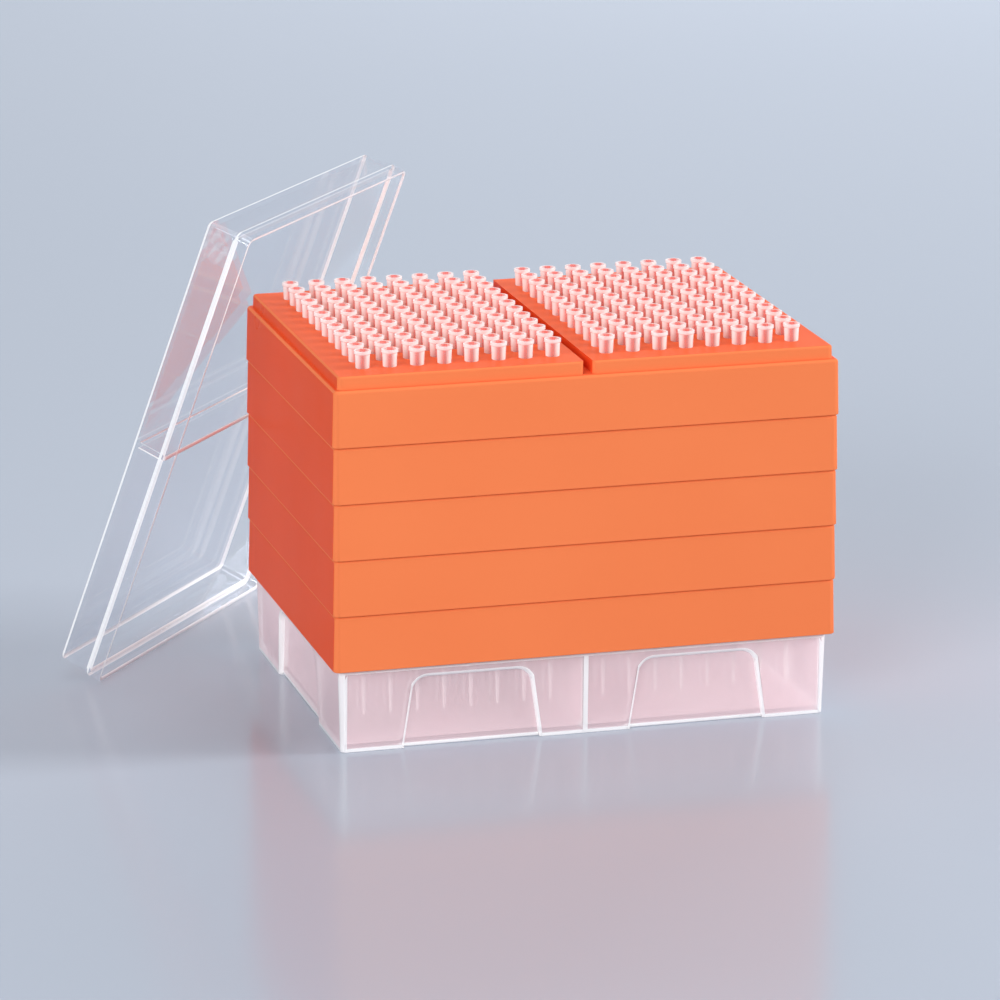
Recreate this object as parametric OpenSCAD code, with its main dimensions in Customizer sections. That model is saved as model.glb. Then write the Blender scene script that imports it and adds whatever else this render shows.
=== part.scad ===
// Stacked box of pipette tips: a tub, five nesting trays of tips and a loose lid.
// Millimetres. The origin is the centre of the tub's underside, +Z up, +X to the right,
// and the front faces -Y. The lid is off and leans on the stack's rear left corner.

/* [Tip grid] */
// Distance between neighbouring tips
pitch = 9; // [8.8:0.1:9.6]
// Tips across one field
cols = 8; // [4:1:8]
// Tips from front to back in one field
rows = 12; // [8:1:12]

/* [Tip] */
// Length of a tip from its rim to its point
tip_len = 47; // [44:0.5:48]
// Height of a seated tip above the deck
tip_proud = 5.6; // [5:0.1:6.5]
// Outer radius of the rim
tip_rim_r = 2.8; // [2.7:0.05:2.9]
// Radius of the mouth that takes the pipette
tip_mouth_r = 2.15; // [2.1:0.05:2.2]
// Depth of the straight part of the mouth
tip_mouth_depth = 3; // [2:0.5:4]

/* [Tray] */
// Number of trays in the stack
levels = 5; // [1:1:6]
// Height from one tray to the next
tray_pitch = 18.6; // [18:0.1:20]
// Height of the decks above the ledge
step_h = 4.3; // [3.5:0.1:5]
// Clear deck between the outer tips and the deck's edge
margin = 10.8; // [9:0.2:13]
// Width of the ledge round the decks
ledge_w = 1.6; // [1.4:0.1:2]
// How much wider each side of the skirt is at its foot
skirt_draft = 0.5; // [0.3:0.1:0.6]
// Radius of the skirt's corners at its foot
corner_r = 2.2; // [2.2:0.1:5]
// Radius of the corners of the raised decks
deck_corner_r = 1.8; // [1.8:0.1:4]
// Wall thickness of the trays
tray_t = 1.5; // [1.2:0.1:1.6]
// Width of the channel between the two decks
channel_w = 3; // [2.6:0.1:5]
// Clearance round a tip in its hole
hole_gap = 0.1; // [0.05:0.05:0.15]

/* [Tub] */
// Height of the tub below the lowest tray's skirt
tub_h = 28; // [24:0.5:40]
// Radius of the tub's corners at its foot
tub_corner_r = 1.8; // [1.8:0.1:4]
// Wall thickness of the tub
tub_t = 1.5; // [1.2:0.1:1.7]
// How far the tub's foot stands in from the skirt above
tub_inset = 2.9; // [2.8:0.1:3.5]
// Height of the tub's floor above the table
floor_z = 1; // [0.5:0.5:4]
// Height of the grip recesses
grip_h = 23.6; // [16:0.1:24]
// Width of a long side's grip recess at its foot
grip_w = 45.5; // [30:0.5:50]
// Width of a short side's grip recess at its foot
end_grip_w = 56; // [30:1:60]
// Depth of the grip recesses at their foot
grip_depth = 1.5; // [1:0.1:2]

/* [Lid] */
// Height of the lid
lid_h = 16.2; // [14:0.1:20]
// Height of the wider band along its rim
band_h = 5.1; // [4.8:0.1:6]
// Radius of the lid's corners at its rim
lid_corner_r = 3.2; // [3.2:0.1:5]
// Wall thickness of the lid
lid_t = 1.6; // [1.2:0.1:1.7]
// How deep the lid's middle rib would reach into the channel
rib_reach = 0.5; // [0:0.1:2]
// Middle of the lid's lower edge on the table, from the stack's left side
lid_foot_x = 19.5; // [16:0.5:30]
// The same point, behind the stack's rear side
lid_foot_y = 20; // [16:0.5:30]
// Turn of the lid about the vertical
lid_yaw = 39; // [30:1:50]

/* [Hidden] */
SIDES = ["left", "right"];

arc_steps = 5;       // segments of a small rounded edge
foot_steps = 3;      // segments of the slight rounding at a foot
grip_steps = 8;      // segments of a grip recess's upper corners
rib_t = 1.6;         // thickness of every middle rib
wall_gap = 0.3;      // clearance between pieces that slide past each other
lap = 0.5;           // how far joined shapes reach into each other

// Half sizes of the decks, of the ledge round them and of the skirt's foot
deck_x = pitch * cols + margin;
deck_y = pitch * (rows - 1) / 2 + margin;
ledge_x = deck_x + ledge_w;
ledge_y = deck_y + ledge_w;
skirt_x = ledge_x + skirt_draft;
skirt_y = ledge_y + skirt_draft;

// Skirt section, as radii from the axes that the skirt's corners turn about
axis_x = skirt_x - corner_r;
axis_y = skirt_y - corner_r;
ledge_r = corner_r - skirt_draft;
skirt_in = corner_r - tray_t - wall_gap;
ledge_round = 1.1;
foot_round = 0.3;

// Deck section, as radii from the decks' own corner axes
deck_ax = deck_x - deck_corner_r;
deck_ay = deck_y - deck_corner_r;
deck_draft = 0.1;
deck_z = tray_pitch + step_h;
deck_round = 0.8;
web_r = norm([axis_x - deck_ax, axis_y - deck_ay]) + 0.1;

// Tub section, as radii from the tub's own corner axes
tub_flare = 0.65;
tub_draft = 0.15;
collar_step = 0.35;
tub_ax = skirt_x - tub_inset - tub_corner_r;
tub_ay = skirt_y - tub_inset - tub_corner_r;
tub_top_r = tub_corner_r + tub_flare;
collar_r = tub_top_r - collar_step;
collar_z = tub_h + tray_pitch - tray_t;
shoulder_z = tub_h - 1;

// Grip recesses: lean of their sides and radius of their upper corners
grip_lean = 8.5;
grip_round = 5;
grip_x = pitch * (cols + 0.5) / 2;

// Lid section, as radii from the lid's own corner axes. Its rim is as wide as the ledges.
lid_ax = ledge_x - lid_corner_r;
lid_ay = ledge_y - lid_corner_r;
band_step = 0.55;
band_slope = 0.3;
band_t = lid_t - 0.1;
body_r = lid_corner_r - band_step;
plate_r = lid_corner_r - 1.2;
plate_round = 1;
ceiling = lid_h - lid_t;

// Tips hang on a small shoulder at the deck. Flanks run straight from there to the point.
rim_bevel = 0.15;
rim_band = 0.9;
tip_deck_r = 2.25;
tip_neck_r = tip_deck_r - 0.2;
throat_r = 1.7;
point_r = 0.45;
bore_r = 0.22;
hole_r = tip_neck_r + hole_gap;

tub_color = [0.93, 0.93, 0.95, 0.6];
tray_color = [0.98, 0.45, 0.12];
tip_color = [0.97, 0.93, 0.92, 0.7];
lid_color = [0.86, 0.92, 0.97, 0.35];

// Points of an arc about [x, y] from angle a to angle b
function arc(x, y, r, a, b, n = arc_steps) =
    [for (i = [0:n]) let (t = a + (b - a) * i / n) [x + r * cos(t), y + r * sin(t)]];

// Height of the seat under tray i, and of its tips' rims
function tray_z(i) = tub_h + (i - 1) * tray_pitch;
function rim_z(i) = tray_z(i) + deck_z + tip_proud;

// Centre of column c, counted outwards from the middle, and of row r from the front
function col_x(side, c) = (side == "left" ? -1 : 1) * pitch * c;
function row_y(r) = pitch * (r - (rows + 1) / 2);

// Sweeps a section, drawn as [distance from the corner axis, height], round a rectangle
// with rounded corners whose axes stand at +-ax, +-ay
module swept(ax, ay) {
    for (a = [0, 180]) rotate([0, 0, a]) {
        translate([ax, ay, 0]) rotate_extrude(angle = 90) children();
        translate([-ax, ay, 0]) rotate([0, 0, 90]) rotate_extrude(angle = 90) children();
        translate([ax, ay, 0]) rotate([90, 0, 0]) linear_extrude(2 * ay) children();
        translate([-ax, ay, 0]) rotate([90, 0, 90]) linear_extrude(2 * ax) children();
    }
}

// A box given by its half sizes and its lowest and highest levels
module slab(x, y, low, high) {
    translate([-x, -y, low]) cube([2 * x, 2 * y, high - low]);
}

// ---- Tips ----

// Half section of a tip, as [radius, height], with its rim at zero
function tip_section() = [
    [tip_mouth_r + rim_bevel, 0], [tip_rim_r - rim_bevel, 0], [tip_rim_r, -rim_bevel],
    [tip_rim_r, -rim_band], [tip_rim_r - 2 * rim_bevel, -rim_band - 2 * rim_bevel],
    [tip_deck_r, -tip_proud], [tip_neck_r, -tip_proud],
    [point_r, -tip_len], [bore_r, -tip_len],
    [throat_r, -tip_proud], [tip_mouth_r, -tip_mouth_depth], [tip_mouth_r, -rim_bevel]
];

module tip() {
    rotate_extrude() polygon(tip_section());
}

// One row of a field of tips
module tip_row(level, side, r) {
    color(tip_color) for (c = [1:cols])
        translate([col_x(side, c), row_y(r), rim_z(level)]) tip();
}

module tip_field(level, side) {
    for (r = [1:rows]) tip_row(level, side, r);
}

// ---- Trays ----

// Section of the skirt and the ledge
function skirt_section() = concat(
    [[skirt_in, 0]],
    arc(corner_r - foot_round, foot_round, foot_round, -90, 0, foot_steps),
    arc(ledge_r - ledge_round, tray_pitch - ledge_round, ledge_round, 0, 90),
    [[0, tray_pitch], [0, tray_pitch - tray_t], [ledge_r - tray_t, tray_pitch - tray_t]]
);

// Section of the decks' outer wall, with a foot that runs out under the ledge
function deck_section() = concat(
    [[deck_corner_r - tray_t, tray_pitch - tray_t], [web_r, tray_pitch - tray_t]],
    [[web_r, tray_pitch], [deck_corner_r, tray_pitch]],
    arc(deck_corner_r - deck_draft - deck_round, deck_z - deck_round, deck_round, 0, 90),
    [[0, deck_z], [0, deck_z - tray_t]],
    [[deck_corner_r - deck_draft - tray_t, deck_z - tray_t]]
);

// Every hole of both decks, as circles
module hole_grid() {
    for (side = SIDES) for (c = [1:cols]) for (r = [1:rows])
        translate([col_x(side, c), row_y(r)]) circle(hole_r, $fn = 32);
}

// What the lid's rib drops into, with rounded mouths at the front and the back
module channel_cut() {
    mouth_r = 1.6;
    top = deck_z + 1;
    slab(channel_w / 2, skirt_y, tray_pitch, top);
    for (a = [0, 180], m = [0, 1]) rotate([0, 0, a]) mirror([m, 0, 0])
        translate([channel_w / 2, -deck_y, tray_pitch]) difference() {
            translate([-lap, -lap, 0]) cube([mouth_r + lap, mouth_r + lap, step_h + 1]);
            translate([mouth_r, mouth_r, -1]) cylinder(step_h + 3, r = mouth_r, $fn = 32);
        }
}

// The channel's walls and floor, and the rib under it that stands in the next channel
module channel_walls() {
    wall_x = channel_w / 2 + tray_t;
    slab(wall_x, deck_y - tray_t / 2, tray_pitch - tray_t, deck_z - lap);
    slab(rib_t / 2, tub_ay + collar_r - tub_t - wall_gap, 0, tray_pitch - lap);
}

module tray_shell() {
    difference() {
        union() {
            swept(axis_x, axis_y) polygon(skirt_section());
            swept(deck_ax, deck_ay) polygon(deck_section());
            translate([0, 0, deck_z - tray_t]) linear_extrude(tray_t) difference() {
                square([2 * deck_ax, 2 * deck_ay], center = true);
                hole_grid();
            }
            channel_walls();
        }
        channel_cut();
    }
}

module tray(i) {
    color(tray_color) translate([0, 0, tray_z(i)]) tray_shell();
}

// ---- Tub ----

// Section of the tub's wall and the edge of its floor
function tub_section() = concat(
    [[tub_corner_r - tub_t, 0]],
    arc(tub_corner_r - foot_round, foot_round, foot_round, -90, 0, foot_steps),
    [[tub_top_r, shoulder_z], [collar_r, shoulder_z + collar_step]],
    [[collar_r, collar_z], [collar_r - tub_t, collar_z]],
    [[tub_corner_r - tub_t + tub_draft, floor_z + tub_t]],
    [[0, floor_z + tub_t], [0, floor_z], [tub_corner_r - tub_t, floor_z]]
);

// Outline of a grip recess: sides that lean in, rounded upper corners, open at the table
function grip_outline(w, grow) =
    let (
        round = grip_round + grow,
        top = grip_h + grow,
        foot = w / 2 + grow / cos(grip_lean),
        x = foot - (top - round) * tan(grip_lean) - round / cos(grip_lean),
        right = arc(x, top - round, round, grip_lean, 90, grip_steps)
    )
    concat(
        [[foot + tan(grip_lean), -1]],
        right,
        [for (i = [len(right) - 1:-1:0]) [-right[i][0], right[i][1]]],
        [[-foot - tan(grip_lean), -1]]
    );

// Places a grip's shapes on the front, back, left and right walls
module at_grips() {
    for (a = [0, 180]) rotate([0, 0, a]) {
        for (s = [-1, 1])
            translate([s * grip_x, -tub_ay, 0]) rotate([90, 0, 0]) grip(grip_w);
        translate([-tub_ax, 0, 0]) rotate([90, 0, -90]) grip(end_grip_w);
    }
}

// Either the wall behind a recess or the recess itself, drawn outwards from a corner axis
module grip(w) {
    panel = tub_corner_r - grip_depth;
    if ($carve) translate([0, 0, panel])
        linear_extrude(2 * grip_depth + tub_flare) polygon(grip_outline(w, 0));
    else intersection() {
        translate([0, 0, panel - tub_t]) linear_extrude(tub_t + lap)
            polygon(grip_outline(w, tub_t));
        translate([-w, 0, panel - tub_t]) cube([2 * w, 2 * grip_h, tub_t + lap]);
    }
}

module base() {
    color(tub_color) difference() {
        union() {
            swept(tub_ax, tub_ay) polygon(tub_section());
            slab(tub_ax, tub_ay, floor_z, floor_z + tub_t);
            at_grips($carve = false);
            slab(rib_t / 2, tub_ay + tub_corner_r - tub_t + tub_draft, 0, tub_h);
        }
        at_grips($carve = true);
    }
}

// ---- Lid ----

// Section of the lid's wall, standing on its rim
function lid_section() = concat(
    [[lid_corner_r - band_t, 0]],
    arc(lid_corner_r - foot_round, foot_round, foot_round, -90, 0, foot_steps),
    [[lid_corner_r, band_h], [body_r, band_h + band_slope]],
    arc(plate_r - plate_round, lid_h - plate_round, plate_round, 0, 90),
    [[0, lid_h], [0, ceiling], [plate_r - lid_t, ceiling]],
    [[body_r - lid_t, band_h - band_slope], [lid_corner_r - band_t, band_h - band_step]]
);

module lid_shell() {
    swept(lid_ax, lid_ay) polygon(lid_section());
    slab(lid_ax, lid_ay, ceiling, lid_h);
    slab(rib_t / 2, lid_ay + body_r - lid_t + band_slope, step_h - rib_reach, ceiling + lap);
}

// Lean of the lid, from level, at which its ceiling meets a rounded edge of the top tray.
// in is how far that edge's corner axis stands in from the skirt, edge_r the edge's distance
// from the axis, top its height and round its radius.
function lean_on(in, edge_r, top, round) =
    let (
        reach = (lid_foot_x + in) * cos(lid_yaw) + (lid_foot_y + in) * sin(lid_yaw),
        out = edge_r - round - reach,
        up = top - round
    )
    acos((ceiling - round) / norm([out, up])) + atan2(out, up);

// A hair more, so the lid and the tray touch without cutting into each other
contact_gap = 0.005;
deck_in = skirt_x - deck_ax;
lid_lean = contact_gap + max(
    lean_on(corner_r, ledge_r, tray_z(levels) + tray_pitch, ledge_round),
    lean_on(deck_in, deck_corner_r - deck_draft, tray_z(levels) + deck_z, deck_round)
);

module lid() {
    color(lid_color)
        translate([-skirt_x - lid_foot_x, skirt_y + lid_foot_y, 0])
        rotate([0, -lid_lean, -lid_yaw])
        translate([ledge_x, 0, 0]) lid_shell();
}

base();
lid();
for (i = [1:levels]) tray(i);
for (i = [1:levels - 1]) for (s = SIDES)
    tip_field(i, s);
for (s = SIDES) for (r = [1:rows])
    tip_row(levels, s, r);
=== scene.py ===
"""Looks of the stacked box of pipette tips. Metres, in the CAD's frame."""

import math

import bmesh
import bpy
from mathutils import Matrix, Vector


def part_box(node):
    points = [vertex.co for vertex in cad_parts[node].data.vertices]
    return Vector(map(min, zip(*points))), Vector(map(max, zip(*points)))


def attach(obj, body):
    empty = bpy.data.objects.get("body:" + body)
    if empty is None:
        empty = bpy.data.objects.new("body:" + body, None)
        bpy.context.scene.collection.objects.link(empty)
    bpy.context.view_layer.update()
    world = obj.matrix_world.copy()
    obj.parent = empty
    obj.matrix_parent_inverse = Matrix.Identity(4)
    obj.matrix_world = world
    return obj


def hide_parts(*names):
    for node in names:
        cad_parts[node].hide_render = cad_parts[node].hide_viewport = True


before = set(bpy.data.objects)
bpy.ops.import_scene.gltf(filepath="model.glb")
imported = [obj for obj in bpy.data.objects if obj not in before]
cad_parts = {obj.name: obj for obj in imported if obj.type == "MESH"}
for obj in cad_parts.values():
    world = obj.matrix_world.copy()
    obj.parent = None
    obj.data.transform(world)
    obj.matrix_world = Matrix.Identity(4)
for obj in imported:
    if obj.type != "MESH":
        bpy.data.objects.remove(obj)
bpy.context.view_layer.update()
MM = 0.001
LEVELS = 5

# ---- Camera ----

VIEW_AZIMUTH = math.radians(-15.711)
VIEW_ELEVATION = math.radians(15.487)
VIEW_ROLL = math.radians(0.186)
VIEW_DISTANCE = 1.6918
VIEW_TARGET = Vector((-0.01244, 0, 0.06399))
VIEW_LENS = 182.54


def back_from_target(azimuth, elevation):
    """Direction from the object towards a camera at these angles."""
    return Vector((
        math.sin(azimuth) * math.cos(elevation),
        -math.cos(azimuth) * math.cos(elevation),
        math.sin(elevation),
    ))


def add_camera():
    data = bpy.data.cameras.new("view")
    data.lens = VIEW_LENS
    data.clip_start, data.clip_end = 0.05, 30
    camera = bpy.data.objects.new("view", data)
    bpy.context.scene.collection.objects.link(camera)
    back = back_from_target(VIEW_AZIMUTH, VIEW_ELEVATION)
    turn = Matrix.Rotation(VIEW_AZIMUTH, 4, "Z") @ Matrix.Rotation(math.pi / 2 - VIEW_ELEVATION, 4, "X")
    camera.matrix_world = (
        Matrix.Translation(VIEW_TARGET + VIEW_DISTANCE * back)
        @ turn
        @ Matrix.Rotation(VIEW_ROLL, 4, "Z")
    )
    bpy.context.scene.camera = camera


add_camera()
bpy.context.scene.view_settings.view_transform = "Standard"
bpy.context.scene.cycles.transparent_max_bounces = 48


# ---- Materials ----


class Value:
    """A socket of a material's node, so that shader maths reads as expressions."""

    def __init__(self, finish, socket):
        self.finish, self.socket = finish, socket

    def maths(self, operation, *others):
        sockets = dict(enumerate((self, *others)))
        return self.finish.add("Math", {"operation": operation}, sockets)

    def __add__(self, other):
        return self.maths("ADD", other)

    def __mul__(self, other):
        return self.maths("MULTIPLY", other)

    def __rsub__(self, other):
        return (self * -1) + other

    def __sub__(self, other):
        return self.maths("SUBTRACT", other)

    def __pow__(self, other):
        return self.maths("POWER", other)

    __radd__, __rmul__ = __add__, __mul__


class Finish:
    """One procedural material, measured in metres on the object's own coordinates."""

    def __init__(self, name):
        self.material = bpy.data.materials.new(name)
        self.material.use_nodes = True
        self.tree = self.material.node_tree
        self.tree.nodes.clear()
        self.place = self.add("TexCoord", out="Object")

    def add(self, kind, settings=(), sockets=(), out=0):
        """Adds a node: its settings first, then the values or links of its sockets."""
        node = self.tree.nodes.new("ShaderNode" + kind)
        for name, value in dict(settings).items():
            setattr(node, name, value)
        for name, value in dict(sockets).items():
            if isinstance(value, Value):
                self.tree.links.new(value.socket, node.inputs[name])
            else:
                node.inputs[name].default_value = value
        return Value(self, node.outputs[out])

    def noise(self, size, detail=2.0, stretch=(1, 1, 1)):
        """Soft random pattern from 0 to 1 whose blotches are about size metres wide."""
        place = self.add("Mapping", sockets={"Vector": self.place, "Scale": stretch})
        return self.add("TexNoise", sockets={"Vector": place, "Scale": 1 / size, "Detail": detail})

    def mix(self, factor, a, b):
        """Colour between a and b."""
        return self.add("Mix", {"data_type": "RGBA"}, {0: factor, 6: a, 7: b}, out=2)

    def bump(self, height, distance, strength=1.0):
        return self.add("Bump", sockets={"Height": height, "Distance": distance, "Strength": strength})

    def surface(self, **sockets):
        """The main shader. Socket names are written with _ for a space."""
        return self.add("BsdfPrincipled", sockets={k.replace("_", " "): v for k, v in sockets.items()})

    def finish(self, shader):
        self.add_output(shader)
        return self.material

    def add_output(self, shader):
        node = self.tree.nodes.new("ShaderNodeOutputMaterial")
        self.tree.links.new(shader.socket, node.inputs["Surface"])

    def clear_to_shadows(self, shader, share):
        """Lets part of the light through, where the shader itself would throw a full shadow."""
        shadow = self.add("LightPath", out="Is Shadow Ray")
        hole = self.add("BsdfTransparent")
        return self.add("MixShader", sockets={0: shadow * share, 1: shader, 2: hole})


def srgb(red, green, blue):
    """Linear colour of a screen colour given from 0 to 255."""
    def linear(c):
        c = c / 255
        return c / 12.92 if c <= 0.04045 else ((c + 0.055) / 1.055) ** 2.4
    return (linear(red), linear(green), linear(blue), 1)


def moulded_tray(name, light, dark):
    f = Finish(name)
    blotch = f.noise(0.06, 1.0)
    grain = f.noise(0.0006, 2.0)
    waves = f.noise(0.035, 1.0)
    colour = f.mix(blotch, light, dark)
    bump = f.bump(grain * 0.04 + waves, 0.0002)
    return f.finish(f.surface(
        Base_Color=colour, Roughness=blotch * 0.08 + 0.25, Normal=bump, IOR=1.49,
        Specular_IOR_Level=0.02,
    ))


def clear_tip():
    f = Finish("natural_tip_plastic")
    edge = f.add("LayerWeight", sockets={"Blend": 0.5}, out="Facing")
    cloud = f.noise(0.004, 1.0)
    shader = f.surface(
        Base_Color=f.mix(cloud, srgb(255, 252, 250), srgb(250, 244, 242)),
        Roughness=cloud * 0.1 + 0.15, Alpha=1 - (1 - edge) ** 4 * 0.94, IOR=1.49,
    )
    return f.finish(f.clear_to_shadows(shader, 0.2))


def veiled_tip():
    """Tips deeper in the tub, whose outlines the milky wall washes out."""
    f = Finish("veiled_tip_plastic")
    cloud = f.noise(0.004, 1.0)
    shader = f.surface(
        Base_Color=f.mix(cloud, srgb(255, 252, 250), srgb(250, 244, 242)),
        Roughness=cloud * 0.1 + 0.15, Alpha=cloud * 0.04 + 0.1, IOR=1.49,
    )
    return f.finish(f.clear_to_shadows(shader, 0.2))


def tip_rim():
    f = Finish("tip_rim_plastic")
    cloud = f.noise(0.004, 1.0)
    shader = f.surface(
        Base_Color=f.mix(cloud, srgb(255, 248, 246), srgb(253, 241, 239)),
        Roughness=cloud * 0.1 + 0.15, Alpha=cloud * 0.1 + 0.7, IOR=1.49,
    )
    return f.finish(f.clear_to_shadows(shader, 0.4))


def tip_bore():
    """The bore is painted in the tray's orange up to the mouth: a painted glow of the orange light from
    the tray round it.
    """
    f = Finish("tip_bore_plastic")
    cloud = f.noise(0.004, 1.0)
    edge = f.add("LayerWeight", sockets={"Blend": 0.5}, out="Facing")
    glow = (1.05 - edge * 3.2).maths("MAXIMUM", 0.03)
    shader = f.surface(
        Base_Color=f.mix(cloud, srgb(234, 92, 76), srgb(226, 82, 68)),
        Roughness=cloud * 0.1 + 0.2, Alpha=(glow * 0.8).maths("MINIMUM", 0.75), IOR=1.49,
    )
    return f.finish(f.clear_to_shadows(shader, 0.4))


def milky_tub():
    f = Finish("milky_tub_plastic_painted_pink_glow")
    cloud = f.noise(0.02, 2.0)
    grain = f.noise(0.0008, 2.0)
    edge = f.add("LayerWeight", sockets={"Blend": 0.5}, out="Facing")
    shader = f.surface(
        # Milky white plastic with a pink tint painted in: the glow of the orange light from the trays
        # above.
        Base_Color=f.mix(cloud, srgb(255, 233, 237), srgb(253, 224, 230)),
        Roughness=cloud * 0.08 + 0.3, Normal=f.bump(grain, 0.00002),
        Alpha=edge ** 3 * 0.5 + 0.39 + cloud * 0.04, IOR=1.49,
    )
    return f.finish(f.clear_to_shadows(shader, 0.75))


def tub_painted_highlight():
    # A whiter, more solid finish that paints a highlight on the tub's edges.
    f = Finish("tub_edge_painted_highlight")
    cloud = f.noise(0.02, 2.0)
    shader = f.surface(
        Base_Color=f.mix(cloud, srgb(255, 254, 253), srgb(250, 248, 250)),
        Roughness=cloud * 0.08 + 0.2, Alpha=cloud * 0.1 + 0.75, IOR=1.49,
    )
    return f.finish(f.clear_to_shadows(shader, 0.6))


def crystal_lid():
    f = Finish("crystal_lid_plastic")
    waves = f.noise(0.05, 1.0)
    edge = f.add("Fresnel", sockets={"IOR": 1.49})
    shader = f.surface(
        Base_Color=srgb(246, 249, 255), Roughness=waves * 0.02 + 0.04, Metallic=0.92,
        Normal=f.bump(waves, 0.00005), Alpha=(edge * 0.9 + 0.01).maths("MINIMUM", 0.3),
    )
    return f.finish(f.clear_to_shadows(shader, 0.8))


def lid_painted_highlight():
    # A white, nearly solid finish that paints highlights on the clear lid's edges.
    f = Finish("lid_edge_painted_highlight")
    waves = f.noise(0.05, 1.0)
    shader = f.surface(
        Base_Color=srgb(254, 254, 255), Roughness=waves * 0.05 + 0.08,
        Alpha=waves * 0.1 + 0.8, IOR=1.49,
    )
    return f.finish(f.clear_to_shadows(shader, 0.6))


def dress(material, *nodes):
    """Gives CAD nodes a material in their own slots."""
    for name in nodes:
        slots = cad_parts[name].material_slots
        for slot in slots:
            slot.link = "OBJECT"
            slot.material = material


# One orange plastic; the decks and end walls are darker, redder copies of it, painted shade.
TRAY = moulded_tray("orange_long_walls", srgb(242, 131, 81), srgb(238, 125, 76))
DECK_PAINTED_SHADE = moulded_tray("orange_decks_painted_shade", srgb(240, 106, 62), srgb(236, 100, 57))
TRAY_END_PAINTED_SHADE = moulded_tray("orange_end_walls_painted_shade", srgb(239, 88, 42), srgb(235, 82, 38))
TIP, TIP_RIM, BORE_PAINTED_GLOW, TIP_VEILED = clear_tip(), tip_rim(), tip_bore(), veiled_tip()
TUB, TUB_HIGHLIGHT_FINISH, LID, LID_HIGHLIGHT_FINISH = milky_tub(), tub_painted_highlight(), crystal_lid(), lid_painted_highlight()
names = sorted(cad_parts)
dress(TRAY, *[n for n in names if n.startswith("tray_")])
dress(TIP, *[n for n in names if n.startswith("top_") or n.startswith("tips_")])
dress(TUB, "base")
dress(LID, "lid")

# ---- Tub, lid and trays with rounded edges ----


def select_only(piece):
    bpy.ops.object.select_all(action="DESELECT")
    piece.select_set(True)
    bpy.context.view_layer.objects.active = piece


def merged_copy(node, name, slot, *finishes):
    """A copy of a CAD node as one skin of whole faces, which stands for the node."""
    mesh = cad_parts[node].data.copy()
    piece = bpy.data.objects.new(name, mesh)
    bpy.context.scene.collection.objects.link(piece)
    select_only(piece)
    bpy.ops.object.mode_set(mode="EDIT")
    bpy.ops.mesh.select_all(action="SELECT")
    bpy.ops.mesh.remove_doubles(threshold=0.000005)
    bpy.ops.mesh.dissolve_limited(angle_limit=math.radians(0.4))
    bpy.ops.object.mode_set(mode="OBJECT")
    mesh.materials.clear()
    for finish in finishes:
        mesh.materials.append(finish)
    for face in mesh.polygons:
        face.material_index = 0
    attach(piece, "root")
    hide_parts(node)
    return piece


def middle_of(edge):
    return (edge.verts[0].co + edge.verts[1].co) / 2


def round_edges(piece, width, share, segments=2, edge_finish=-1, clamp=True):
    """Rounds the sharp edges of a piece, each by its share(edge) of the width."""
    sharp = math.radians(35)
    shape = bmesh.new()
    shape.from_mesh(piece.data)
    weight = shape.edges.layers.float.new("bevel_weight_edge")
    for edge in shape.edges:
        corner = len(edge.link_faces) == 2 and edge.calc_face_angle() > sharp
        edge[weight] = share(edge) if corner else 0
    shape.to_mesh(piece.data)
    shape.free()
    select_only(piece)
    bevel = piece.modifiers.new("edges", "BEVEL")
    bevel.width = width
    bevel.segments = segments
    bevel.material = edge_finish
    bevel.use_clamp_overlap = clamp
    bevel.limit_method = "WEIGHT"
    bpy.ops.object.modifier_apply(modifier=bevel.name)
    bpy.ops.object.shade_smooth_by_angle(angle=math.radians(40))
    level = piece.modifiers.new("flat_faces_stay_flat", "WEIGHTED_NORMAL")
    level.keep_sharp = True
    level.weight = 100
    bpy.ops.object.modifier_apply(modifier=level.name)


def repeat(piece, count, step):
    """Copies a piece in a straight line, as one mesh."""
    array = piece.modifiers.new("row", "ARRAY")
    array.count = count
    array.use_relative_offset = False
    array.use_constant_offset = True
    array.constant_offset_displace = step
    bpy.ops.object.modifier_apply(modifier=array.name)


def stand_for(piece, node, name, first_node):
    """Places a piece, or its copy, where its node is, and lets it stand for the node."""
    if node != first_node:
        piece = piece.copy()
        piece.data = piece.data.copy()
        bpy.context.scene.collection.objects.link(piece)
        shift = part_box(node)[1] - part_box(first_node)[1]
        piece.data.transform(Matrix.Translation(shift))
    piece.name = name
    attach(piece, "root")
    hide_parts(node)


def cut_through(piece, place, normal):
    """Adds edges where a plane meets a piece, so that a strip can have its own finish."""
    select_only(piece)
    bpy.ops.object.mode_set(mode="EDIT")
    bpy.ops.mesh.select_all(action="SELECT")
    bpy.ops.mesh.bisect(plane_co=place, plane_no=normal)
    bpy.ops.object.mode_set(mode="OBJECT")


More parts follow.
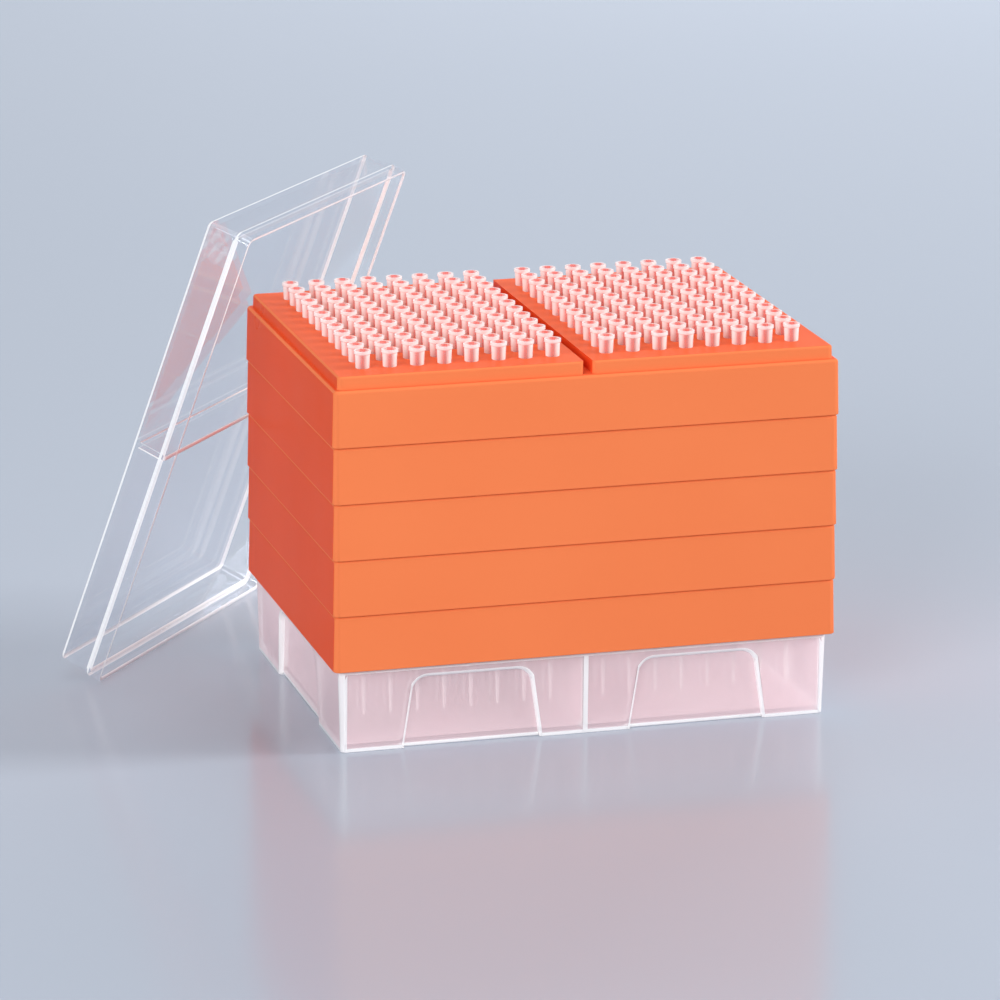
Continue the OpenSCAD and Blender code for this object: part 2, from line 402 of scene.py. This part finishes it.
def shape_tub():
    """The tub's corners, its foot and where the divider meets the walls get a whiter, more solid
    finish, a painted highlight of the light that gathers there.
    """
    tub = merged_copy("base", "tub", "tub", TUB, TUB_HIGHLIGHT_FINISH)
    foot, rib = 1.3 * MM, 0.8 * MM
    cut_through(tub, (0, 0, foot), (0, 0, 1))
    for x in (-rib, rib):
        cut_through(tub, (x, 0, 0), (1, 0, 0))
    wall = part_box("base")[1] - Vector((3, 3, 0)) * MM
    for face in tub.data.polygons:
        x, y, z = (abs(v) for v in face.center)
        across, deep, up = (abs(v) for v in face.normal)
        corner = up < 0.1 and min(across, deep) > 0.3
        at_foot = z < foot and up < 0.9
        at_rib = x < rib and deep > 0.9 and y > wall.y
        recess_step = (y > wall.y and deep < 0.5 or x > wall.x and across < 0.5) and z < 25 * MM
        # Corners, foot, divider ends and recess steps get the painted highlight; so do the rounded
        # edges below.
        face.material_index = 1 if corner or at_foot or at_rib or recess_step else 0

    def share(edge):
        x, y, z = (abs(v) for v in middle_of(edge))
        on_recess = (x > wall.x or y > wall.y) and 0.1 * MM < z < 24 * MM
        return 0 if not edge.is_convex else 1 if on_recess else 0.36

    round_edges(tub, 1.4 * MM, share, edge_finish=1, clamp=False)
    for vertex in tub.data.vertices:
        vertex.co.z = max(vertex.co.z, 0)


def shape_lid():
    """The rounded outline of the lid's plate, its rim, step and rib get a white, nearly solid finish: a
    painted highlight on the clear lid.
    """
    lid = merged_copy("lid", "clear_lid", "lid", LID, LID_HIGHLIGHT_FINISH)
    faces = lid.data.polygons
    plate = max(faces, key=lambda face: face.area)
    middle, out = plate.center.copy(), plate.normal.copy()
    walls = [face for face in faces if abs(face.normal.dot(out)) < 0.05 and face.area > 0.0005]
    rib = min(walls, key=lambda face: abs((face.center - middle).dot(face.normal)))
    along = rib.normal.copy()
    for face in faces:
        depth = abs((face.center - middle).dot(out))
        level = abs(face.normal.dot(out))
        end = level > 0.99 and depth > 3 * MM
        rounding = 0.15 < level < 0.97 and depth < 3 * MM
        # Ends and roundings get the painted highlight; so do the rounded edges below.
        face.material_index = 1 if end or rounding else 0

    def share(edge):
        at_rib = abs((middle_of(edge) - middle).dot(along)) < 1.5 * MM
        return 1 if edge.is_convex else 0.6 if at_rib else 0

    round_edges(lid, 0.55 * MM, share, edge_finish=1, clamp=False)


def shape_trays():
    low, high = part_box("tray_1")

    def outside(edge):
        middle = middle_of(edge)
        on_rim = abs(middle.x) > high.x - 6 * MM or abs(middle.y) > high.y - 5 * MM
        return 1 if on_rim or abs(middle.x) < 3 * MM else 0

    first = merged_copy("tray_1", "orange_tray_1", "tray", TRAY, DECK_PAINTED_SHADE, TRAY_END_PAINTED_SHADE)
    for face in first.data.polygons:
        across, up = abs(face.normal.x), abs(face.normal.z)
        # Decks and end walls take the painted-shade copies of the orange.
        face.material_index = 1 if up > 0.9 else 2 if across > 0.98 else 0
    round_edges(first, 0.15 * MM, outside)
    for level in range(2, LEVELS + 1):
        stand_for(first, f"tray_{level}", f"orange_tray_{level}", "tray_1")


shape_tub()
shape_lid()
shape_trays()

# ---- Tips ----

PITCH = 9 * MM
COLS, ROWS = 8, 12
FIRST_Y = -(ROWS - 1) / 2 * PITCH
MOUTH = 2.15
# Down the outside of a tip and back up its bore, as radius and depth below its rim, in mm
STANDING_TIP = ((2.8, 0), (2.8, 0.9), (2.5, 1.2), (0.45, 47), (0.22, 47), (1.7, 5.6), (MOUTH, 0))
COVERED_TIP = ((2.8, 0), (2.05, 5.6), (0.45, 47), (0.22, 47), (MOUTH, 0))


def model_tip(rings, sides, x, y, rim_z):
    """One tip at x, y with its rim at rim_z, drawn as rings out from its mouth."""
    bpy.ops.object.select_all(action="DESELECT")
    bpy.ops.mesh.primitive_circle_add(vertices=sides, radius=MOUTH * MM, location=(x, y, rim_z))
    tip = bpy.context.object
    bpy.ops.object.transform_apply(location=True, rotation=True, scale=True)
    bpy.ops.object.mode_set(mode="EDIT")
    bpy.ops.mesh.select_all(action="SELECT")
    radius, depth = MOUTH, 0.0
    for next_radius, next_depth in rings:
        bpy.ops.mesh.extrude_region_move(
            TRANSFORM_OT_translate={"value": (0, 0, -(next_depth - depth) * MM)})
        ratio = next_radius / radius
        bpy.ops.transform.resize(value=(ratio, ratio, 1), center_override=(x, y, rim_z))
        radius, depth = next_radius, next_depth
    bpy.ops.mesh.select_all(action="SELECT")
    bpy.ops.mesh.remove_doubles(threshold=0.00001)
    bpy.ops.mesh.normals_make_consistent(inside=False)
    bpy.ops.object.mode_set(mode="OBJECT")
    bpy.ops.object.shade_smooth_by_angle(angle=math.radians(360 / sides + 8))
    return tip


def shape_covered_tips():
    """Fields of tips under the trays. Past the front row, the milky tub washes them out."""
    first_node = "tips_1_left"
    rim_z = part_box(first_node)[1].z
    tip = model_tip(COVERED_TIP, 8, -COLS * PITCH, FIRST_Y, rim_z)
    repeat(tip, COLS, (PITCH, 0, 0))
    repeat(tip, ROWS, (0, PITCH, 0))
    tip.data.materials.append(TIP)
    tip.data.materials.append(TIP_VEILED)
    for face in tip.data.polygons:
        face.material_index = 1 if face.center.y > FIRST_Y + PITCH / 2 else 0
    for level in range(1, LEVELS):
        for side in ("right", "left"):
            if (level, side) != (1, "left"):
                stand_for(tip, f"tips_{level}_{side}", f"level_{level}_{side}_tips", first_node)
    stand_for(tip, first_node, "level_1_left_tips", first_node)


def shape_standing_tips():
    """The rows on top: white rims and edges round a bore painted in the trays' orange, a painted glow
    of their light.
    """
    first_node = "top_left_row_1"
    rim_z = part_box(first_node)[1].z
    tip = model_tip(STANDING_TIP, 12, -COLS * PITCH, FIRST_Y, rim_z)
    for finish in (TIP, TIP_RIM, BORE_PAINTED_GLOW):
        tip.data.materials.append(finish)
    for face in tip.data.polygons:
        x, y = face.center.x + COLS * PITCH, face.center.y - FIRST_Y
        inwards = face.normal.x * x + face.normal.y * y < -0.1 * math.hypot(x, y)
        near_rim = face.center.z > rim_z - 1.3 * MM
        # Inward faces take the bore's painted orange glow.
        face.material_index = 2 if inwards else 1 if near_rim else 0
    repeat(tip, COLS, (PITCH, 0, 0))
    for node in names:
        if node.startswith("top_") and node != first_node:
            stand_for(tip, node, f"{node}_tips", first_node)
    stand_for(tip, first_node, f"{first_node}_tips", first_node)


shape_covered_tips()
shape_standing_tips()

# ---- Floor, light and background ----


def add_floor():
    bpy.ops.object.select_all(action="DESELECT")
    bpy.ops.mesh.primitive_plane_add(size=8, location=(0, 0, 0))
    floor = bpy.context.object
    floor.name = "floor"
    f = Finish("pale_floor")
    shade = f.noise(0.5, 1.0)
    floor.data.materials.append(f.finish(f.surface(
        Base_Color=f.mix(shade, srgb(176, 183, 195), srgb(172, 180, 193)),
        Roughness=shade * 0.04 + 0.14,
    )))


def add_light(name, place, aim, width, height, power, mirrored=True):
    data = bpy.data.lights.new(name, "AREA")
    data.shape = "RECTANGLE"
    data.size, data.size_y = width, height
    data.energy = power
    light = bpy.data.objects.new(name, data)
    bpy.context.scene.collection.objects.link(light)
    light.visible_glossy = mirrored
    light.location = place
    light.rotation_euler = (Vector(aim) - Vector(place)).to_track_quat("-Z", "Y").to_euler()


def add_world():
    world = bpy.data.worlds.new("studio")
    bpy.context.scene.world = world
    world.use_nodes = True
    tree = world.node_tree
    background = tree.nodes["Background"]
    background.inputs["Color"].default_value = srgb(214, 222, 234)
    ray = tree.nodes.new("ShaderNodeLightPath")
    seen = tree.nodes.new("ShaderNodeMath")
    seen.operation = "MAXIMUM"
    tree.links.new(ray.outputs["Is Camera Ray"], seen.inputs[0])
    tree.links.new(ray.outputs["Is Glossy Ray"], seen.inputs[1])
    strength = tree.nodes.new("ShaderNodeMapRange")
    strength.inputs["To Min"].default_value = 0.28
    strength.inputs["To Max"].default_value = 0.75
    tree.links.new(seen.outputs[0], strength.inputs["Value"])
    tree.links.new(strength.outputs[0], background.inputs["Strength"])


add_floor()
add_light("right_key", (3.2, -0.7, 1.3), (0, 0, 0.06), 1.0, 1.0, 115, mirrored=False)
add_light("front_soft", (-1.5, -1.75, 0.9), (0, 0, 0.06), 1.2, 1.0, 44)
add_light("top_soft", (0, 0.3, 1.8), (0, 0, 0.06), 1.6, 1.6, 12)
add_light("back_soft", (0.9, 1.9, 0.9), (0, 0, 0.06), 1.2, 0.8, 22, mirrored=False)
add_world()
